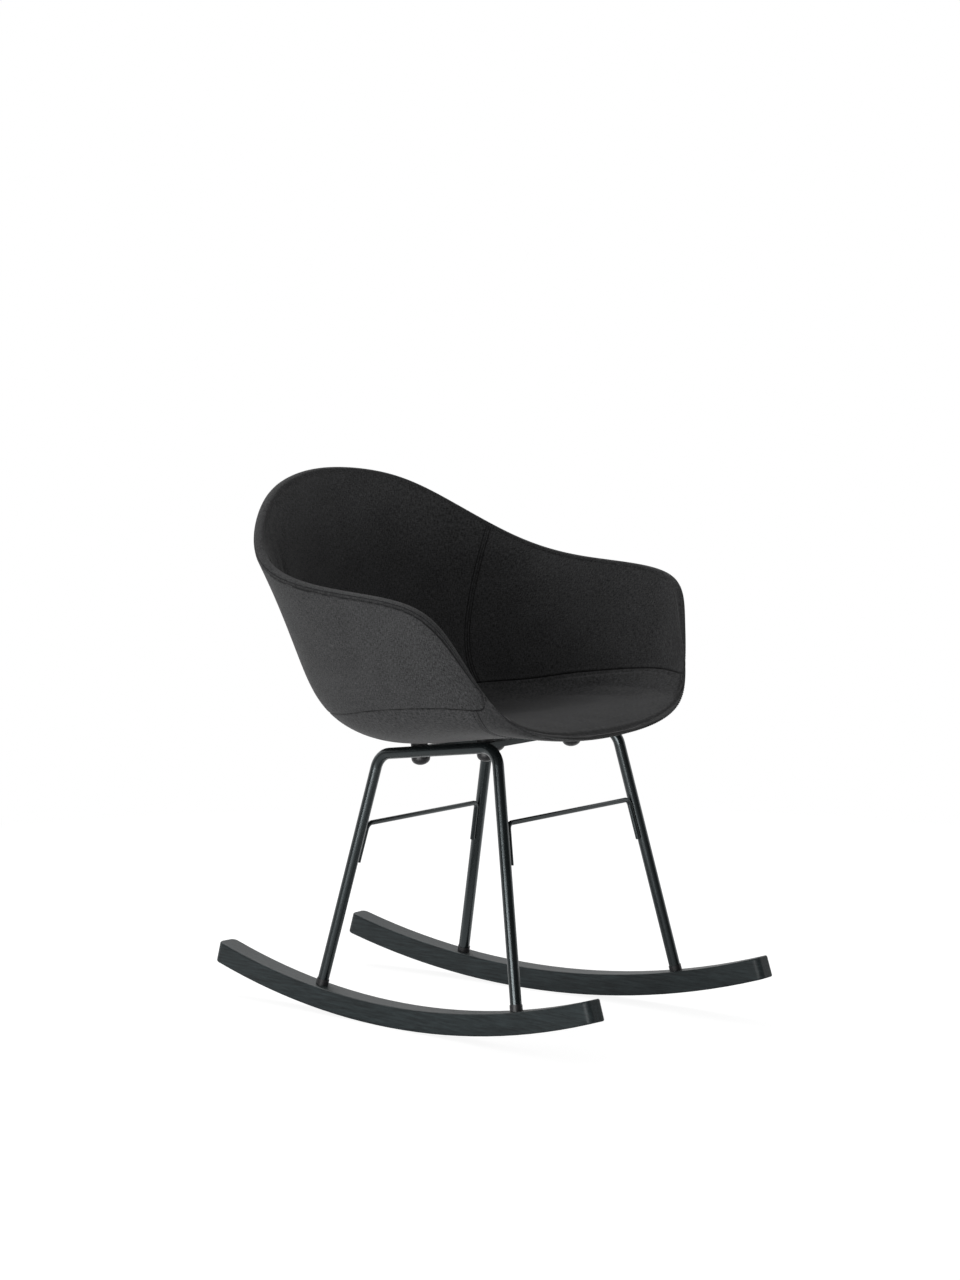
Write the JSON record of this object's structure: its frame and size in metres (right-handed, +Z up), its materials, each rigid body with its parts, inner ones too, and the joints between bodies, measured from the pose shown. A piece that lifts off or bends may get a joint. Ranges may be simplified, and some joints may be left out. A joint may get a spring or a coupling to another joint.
{
  "type": "rocking chair",
  "caption": "Upholstered bucket armchair on a bent-tube frame with a pair of curved wooden rockers, for sitting and gentle rocking.",
  "frame": {"origin": "on the floor, under the middle of the two rockers", "axes": "+Z up, the sitter faces -Y, the sitter's left is +X"},
  "size_m": [0.5898, 0.7331, 0.7599],
  "materials": {
    "upholstery": "charcoal fine weave",
    "outer_upholstery": "charcoal fine weave",
    "shell_plastic": "moulded black",
    "frame_coat": "black semi-gloss powder coat",
    "stained_wood": "dark stain, satin varnish",
    "sleeve_plastic": "moulded black",
    "cap_plastic": "moulded black",
    "spacer_rubber": "matt black",
    "fixing_steel": "zinc plated",
    "insert_brass": "plain"
  },
  "bodies": {
    "root": {"rocker_right": "stained_wood", "rocker_left": "stained_wood", "side_frame_right": "frame_coat", "side_frame_left": "frame_coat", "front_cross_bar": "frame_coat", "rear_cross_bar": "frame_coat", "front_stretcher": "frame_coat", "rear_stretcher": "frame_coat", "leg_ferrules": "sleeve_plastic", "leg_thread_plugs": "fixing_steel", "rocker_bolts": "fixing_steel", "rocker_bolt_washers": "fixing_steel", "seat_bolts": "fixing_steel", "seat_bolt_caps": "cap_plastic", "seat_spacers": "spacer_rubber", "shell_inserts": "insert_brass", "seat_shell": "shell_plastic", "seat_pad": "upholstery", "back_pad": "upholstery", "arm_pad_right": "upholstery", "arm_pad_left": "upholstery", "outer_cover": "outer_upholstery", "bottom_cover": "outer_upholstery", "rim_welt": "upholstery"}
  },
  "joints": []
}
